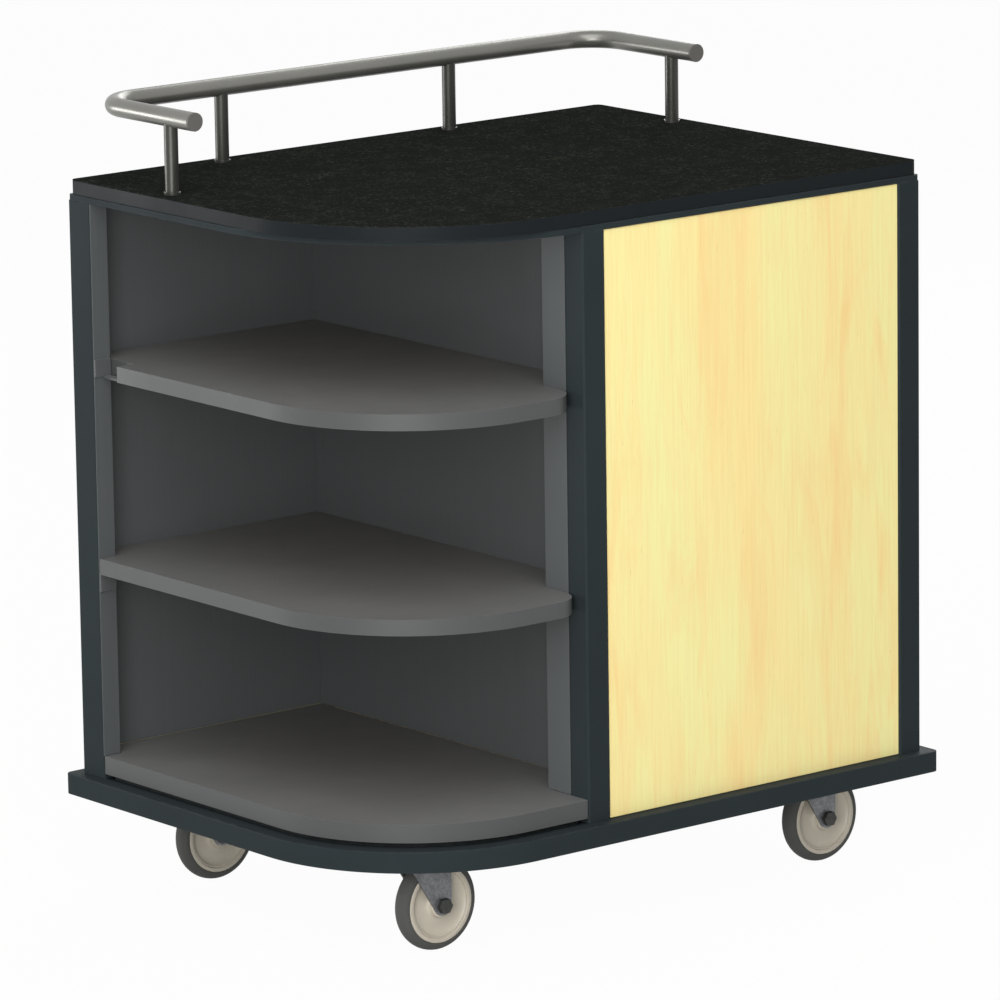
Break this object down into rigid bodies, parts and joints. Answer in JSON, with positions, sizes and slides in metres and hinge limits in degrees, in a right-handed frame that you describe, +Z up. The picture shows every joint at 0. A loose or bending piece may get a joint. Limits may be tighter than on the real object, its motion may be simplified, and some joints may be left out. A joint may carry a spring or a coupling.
{
  "type": "beverage cart",
  "caption": "Mobile beverage cart with a stone-look counter, guard rail, open rounded shelf end, closed maple cabinet with a rear door, and swivel casters.",
  "frame": {"origin": "on the floor, at the middle of the box round the whole cart", "axes": "+X to the right seen from the maple front, +Y from the front to the back, +Z up"},
  "size_m": [0.972, 0.718, 1.1012],
  "materials": {
    "black_powder_coat": "satin black powder coat",
    "stone_laminate": "black stone-look laminate, slight sheen",
    "edge_band": "dark grey edge band",
    "board": "raw particleboard",
    "maple_laminate": "pale maple, satin",
    "grey_sheet": "satin grey steel sheet",
    "zinc": "bright zinc plate",
    "rail_nickel": "satin nickel",
    "cap_plastic": "dark grey plastic",
    "wheel_plastic": "light beige grey plastic",
    "grey_tyre": "grey rubber tread",
    "magnet_plastic": "white plastic",
    "bush_bronze": "sintered bronze"
  },
  "bodies": {
    "cart": {"back_wall": "grey_sheet", "base_plate": "black_powder_coat", "base_skirt": "black_powder_coat", "bottom_deck": "grey_sheet", "bottom_deck_core": "board", "cabinet_floor": "maple_laminate", "cabinet_shelf": "maple_laminate", "cabinet_shelf_clips": "zinc", "caster_bolts": "zinc", "caster_kingpins": "zinc", "caster_plates": "zinc", "counter_core": "board", "counter_edge_band": "edge_band", "counter_laminate": "stone_laminate", "door_catch": "magnet_plastic", "front_panel": "maple_laminate", "guard_rail": "rail_nickel", "guard_rail_end_caps": "cap_plastic", "guard_rail_posts": "rail_nickel", "hinge_pins": "zinc", "hinge_post_leaves": "zinc", "left_rear_post": "black_powder_coat", "lower_shelf": "grey_sheet", "lower_shelf_core": "board", "middle_front_post": "black_powder_coat", "middle_rear_post": "black_powder_coat", "partition_board": "board", "partition_face": "grey_sheet", "rear_panel": "maple_laminate", "right_front_post": "black_powder_coat", "right_panel": "maple_laminate", "right_rear_post": "black_powder_coat", "shelf_supports": "grey_sheet", "top_frame": "black_powder_coat", "upper_shelf": "grey_sheet", "upper_shelf_core": "board"},
    "door": {"rear_door": "maple_laminate", "hinge_door_leaves": "zinc", "door_pull": "zinc", "door_strike": "zinc"},
    "swivel_front_left": {"caster_fork_front_left": "zinc", "caster_axle_front_left": "zinc", "caster_bush_front_left": "bush_bronze"},
    "wheel_front_left": {"caster_wheel_front_left": "wheel_plastic", "caster_tyre_front_left": "grey_tyre"},
    "swivel_front_right": {"caster_fork_front_right": "zinc", "caster_axle_front_right": "zinc", "caster_bush_front_right": "bush_bronze"},
    "wheel_front_right": {"caster_wheel_front_right": "wheel_plastic", "caster_tyre_front_right": "grey_tyre"},
    "swivel_rear_left": {"caster_fork_rear_left": "zinc", "caster_axle_rear_left": "zinc", "caster_bush_rear_left": "bush_bronze"},
    "wheel_rear_left": {"caster_wheel_rear_left": "wheel_plastic", "caster_tyre_rear_left": "grey_tyre"},
    "swivel_rear_right": {"caster_fork_rear_right": "zinc", "caster_axle_rear_right": "zinc", "caster_bush_rear_right": "bush_bronze"},
    "wheel_rear_right": {"caster_wheel_rear_right": "wheel_plastic", "caster_tyre_rear_right": "grey_tyre"}
  },
  "joints": [
    {"name": "door_hinge", "type": "hinge", "parent": "cart", "child": "door", "pos_m": [0.4285, 0.345, 0.56], "axis": [0, 0, -1], "range_deg": [0, 175]},
    {"name": "caster_swivel_front_left", "type": "hinge", "parent": "cart", "child": "swivel_front_left", "pos_m": [-0.341, -0.244, 0.1402], "axis": [0, 0, 1], "continuous": true},
    {"name": "wheel_spin_front_left", "type": "hinge", "parent": "swivel_front_left", "child": "wheel_front_left", "pos_m": [-0.317, -0.244, 0.0635], "axis": [0, 1, 0], "continuous": true},
    {"name": "caster_swivel_front_right", "type": "hinge", "parent": "cart", "child": "swivel_front_right", "pos_m": [0.341, -0.244, 0.1402], "axis": [0, 0, 1], "continuous": true},
    {"name": "wheel_spin_front_right", "type": "hinge", "parent": "swivel_front_right", "child": "wheel_front_right", "pos_m": [0.365, -0.244, 0.0635], "axis": [0, 1, 0], "continuous": true},
    {"name": "caster_swivel_rear_left", "type": "hinge", "parent": "cart", "child": "swivel_rear_left", "pos_m": [-0.341, 0.244, 0.1402], "axis": [0, 0, 1], "continuous": true},
    {"name": "wheel_spin_rear_left", "type": "hinge", "parent": "swivel_rear_left", "child": "wheel_rear_left", "pos_m": [-0.317, 0.244, 0.0635], "axis": [0, 1, 0], "continuous": true},
    {"name": "caster_swivel_rear_right", "type": "hinge", "parent": "cart", "child": "swivel_rear_right", "pos_m": [0.341, 0.244, 0.1402], "axis": [0, 0, 1], "continuous": true},
    {"name": "wheel_spin_rear_right", "type": "hinge", "parent": "swivel_rear_right", "child": "wheel_rear_right", "pos_m": [0.365, 0.244, 0.0635], "axis": [0, 1, 0], "continuous": true}
  ]
}
